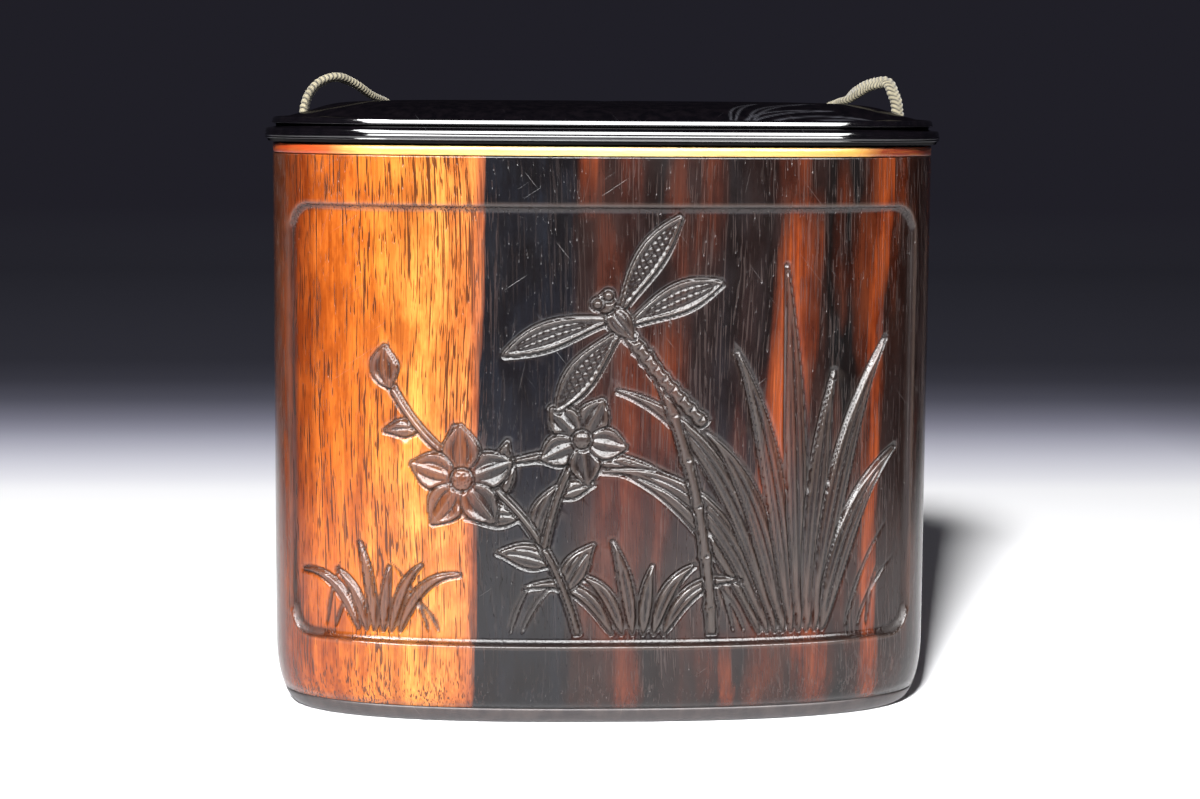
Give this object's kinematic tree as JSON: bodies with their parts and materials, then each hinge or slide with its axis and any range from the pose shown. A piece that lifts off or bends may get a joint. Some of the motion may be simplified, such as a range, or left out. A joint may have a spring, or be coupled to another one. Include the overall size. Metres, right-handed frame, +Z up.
{
  "type": "inro case",
  "caption": "Small oval wooden case with a lift-off domed lid, a sunk carved front panel, and a braided cord through a bead.",
  "frame": {"origin": "under the middle of the case, on the surface that it stands on", "axes": "+Z up, +X to the right along the case's width, +Y to the back; the carved front faces -Y"},
  "size_m": [0.0922, 0.0693, 0.0867],
  "materials": {
    "striped_wood": "polished, striped orange, brown and near black",
    "pale_wood": "polished",
    "dark_wood": "satin",
    "black_lid": "glossy black",
    "braid": "flat herringbone braid",
    "coral": "polished coral"
  },
  "bodies": {
    "root": {"case_body": "striped_wood", "rim_band": "pale_wood", "base_plate": "dark_wood", "lid": "black_lid", "cord_held": "braid", "cord_left": "braid", "cord_right": "braid", "bead": "coral", "cord_knot": "braid"}
  },
  "joints": []
}
